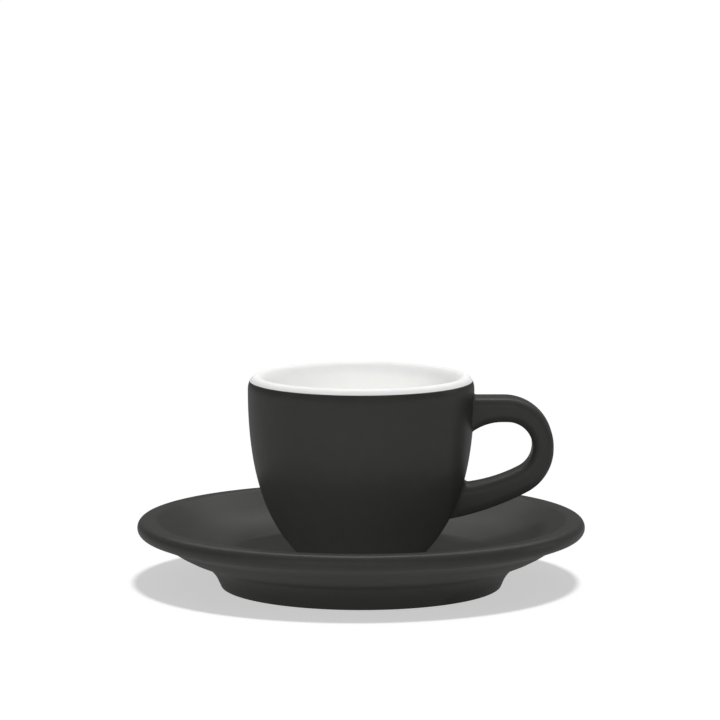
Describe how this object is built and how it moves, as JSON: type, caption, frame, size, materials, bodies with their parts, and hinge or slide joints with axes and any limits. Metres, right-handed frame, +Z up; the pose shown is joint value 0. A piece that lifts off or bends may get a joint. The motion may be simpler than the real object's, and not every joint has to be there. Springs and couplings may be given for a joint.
{
  "type": "espresso cup and saucer",
  "caption": "Thick-walled espresso cup with a loop handle, dark satin outside and glossy white inside, standing loose in a matching round saucer.",
  "frame": {"origin": "middle of the ring that the saucer stands on, in the plane of the table", "axes": "+Z up along the axis of the cup and saucer, +X towards the handle"},
  "size_m": [0.12, 0.12, 0.0566],
  "materials": {
    "dark_glaze": "satin charcoal glaze",
    "white_glaze": "gloss white glaze",
    "bare_clay": "ground, unglazed"
  },
  "bodies": {
    "saucer": {"saucer_dish": "dark_glaze", "saucer_foot_ring": "dark_glaze"},
    "cup": {"cup_bowl": "dark_glaze", "cup_foot_ring": "bare_clay", "cup_lining": "white_glaze", "cup_handle": "dark_glaze"}
  },
  "joints": [
    {"name": "cup_lift", "type": "slide", "parent": "saucer", "child": "cup", "axis": [0, 0, 1], "range_m": [0, 0.06]}
  ]
}
